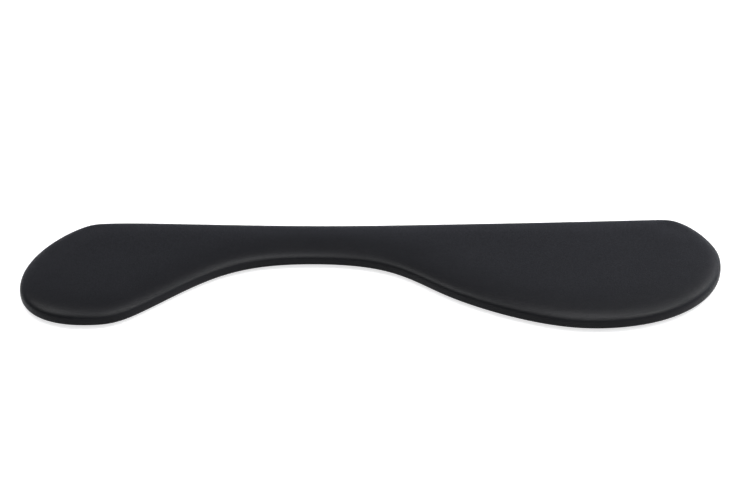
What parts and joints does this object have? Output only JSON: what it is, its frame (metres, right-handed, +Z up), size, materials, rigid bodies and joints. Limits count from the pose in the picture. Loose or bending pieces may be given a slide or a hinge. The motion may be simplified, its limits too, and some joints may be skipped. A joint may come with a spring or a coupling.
{
  "type": "wrist rest",
  "caption": "Long, flat, leather-covered wrist and forearm rest with a straight back edge, a concave front bay and two rounded lobes, the right one larger.",
  "frame": {"origin": "under the middle of the outline, on the surface that the grip pads stand on", "axes": "+X along the length to the user's right, +Y away from the user towards the straight back edge, +Z up out of the desk"},
  "size_m": [0.69, 0.208, 0.021],
  "materials": {
    "black_leather": "matt black grained leather, aniline-look finish",
    "pad_foam": "open-cell polyurethane foam",
    "board_ply": "sanded birch plywood, unfinished",
    "lining_felt": "black needle-punched non-woven",
    "grip_rubber": "matt black rubber",
    "staple_wire": "galvanised fine wire"
  },
  "bodies": {
    "root": {"leather_cover": "black_leather", "foam_pad": "pad_foam", "core_board": "board_ply", "base_lining": "lining_felt", "grip_pad_1": "grip_rubber", "grip_pad_2": "grip_rubber", "grip_pad_3": "grip_rubber", "grip_pad_4": "grip_rubber", "grip_pad_5": "grip_rubber", "grip_pad_6": "grip_rubber", "grip_pad_7": "grip_rubber", "grip_pad_8": "grip_rubber", "grip_pad_9": "grip_rubber", "staple_01": "staple_wire", "staple_02": "staple_wire", "staple_03": "staple_wire", "staple_04": "staple_wire", "staple_05": "staple_wire", "staple_06": "staple_wire", "staple_07": "staple_wire", "staple_08": "staple_wire", "staple_09": "staple_wire", "staple_10": "staple_wire", "staple_11": "staple_wire", "staple_12": "staple_wire", "staple_13": "staple_wire", "staple_14": "staple_wire", "staple_15": "staple_wire", "staple_16": "staple_wire", "staple_17": "staple_wire", "staple_18": "staple_wire", "staple_19": "staple_wire", "staple_20": "staple_wire", "staple_21": "staple_wire", "staple_22": "staple_wire", "staple_23": "staple_wire", "staple_24": "staple_wire", "staple_25": "staple_wire", "staple_26": "staple_wire", "staple_27": "staple_wire", "staple_28": "staple_wire", "staple_29": "staple_wire", "staple_30": "staple_wire"}
  },
  "joints": []
}
